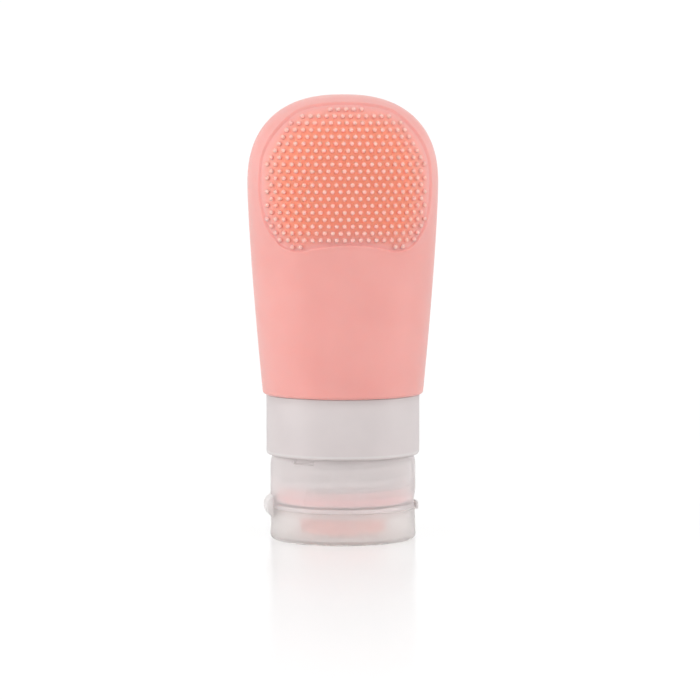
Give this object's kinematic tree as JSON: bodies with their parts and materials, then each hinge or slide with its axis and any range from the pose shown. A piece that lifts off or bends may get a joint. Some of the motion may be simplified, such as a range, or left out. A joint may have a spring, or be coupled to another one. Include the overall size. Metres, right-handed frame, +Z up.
{
  "type": "travel silicone bottle",
  "caption": "Squeezable silicone travel bottle standing on its flip cap, with a nub brush on its front and a screw collar.",
  "frame": {"origin": "centre of the closed lid's flat face, on which the bottle stands", "axes": "+Z up to the bottle's dome, -Y out of the brush, -X to the lid's hinge and +X to its thumb tab"},
  "size_m": [0.046, 0.0387, 0.1064],
  "materials": {
    "bottle_body": "satin moulded silicone",
    "brush_pad": "satin moulded silicone",
    "cap_liner": "satin moulded silicone",
    "spout_valve": "satin moulded silicone",
    "neck_collar": "frosted translucent polypropylene",
    "neck_insert": "frosted translucent polypropylene",
    "cap_base": "frosted translucent polypropylene",
    "valve_retainer": "frosted translucent polypropylene",
    "hinge_web": "frosted translucent polypropylene",
    "lid": "frosted translucent polypropylene"
  },
  "bodies": {
    "bottle": {"bottle_body": "bottle_body", "brush_pad": "brush_pad", "neck_collar": "neck_collar", "neck_insert": "neck_insert"},
    "seal": {"cap_liner": "cap_liner"},
    "cap": {"cap_base": "cap_base", "spout_valve": "spout_valve", "valve_retainer": "valve_retainer", "hinge_web": "hinge_web"},
    "lid": {"lid": "lid"}
  },
  "joints": [
    {"name": "cap_lift", "type": "slide", "parent": "bottle", "child": "seal", "axis": [0, 0, -1], "range_m": [0, 0.00469]},
    {"name": "cap_turn", "type": "hinge", "parent": "seal", "child": "cap", "pos_m": [0, 0, 0], "axis": [0, 0, -1], "range_deg": [0, 560]},
    {"name": "lid_hinge", "type": "hinge", "parent": "cap", "child": "lid", "pos_m": [-0.0182, 0, 0.0079], "axis": [0, 1, 0], "range_deg": [0, 150], "deforming": ["hinge_web"]}
  ],
  "couplings": [
    {"joint": "cap_lift", "follows": "cap_turn", "m_per_rad": 0.00047746}
  ]
}
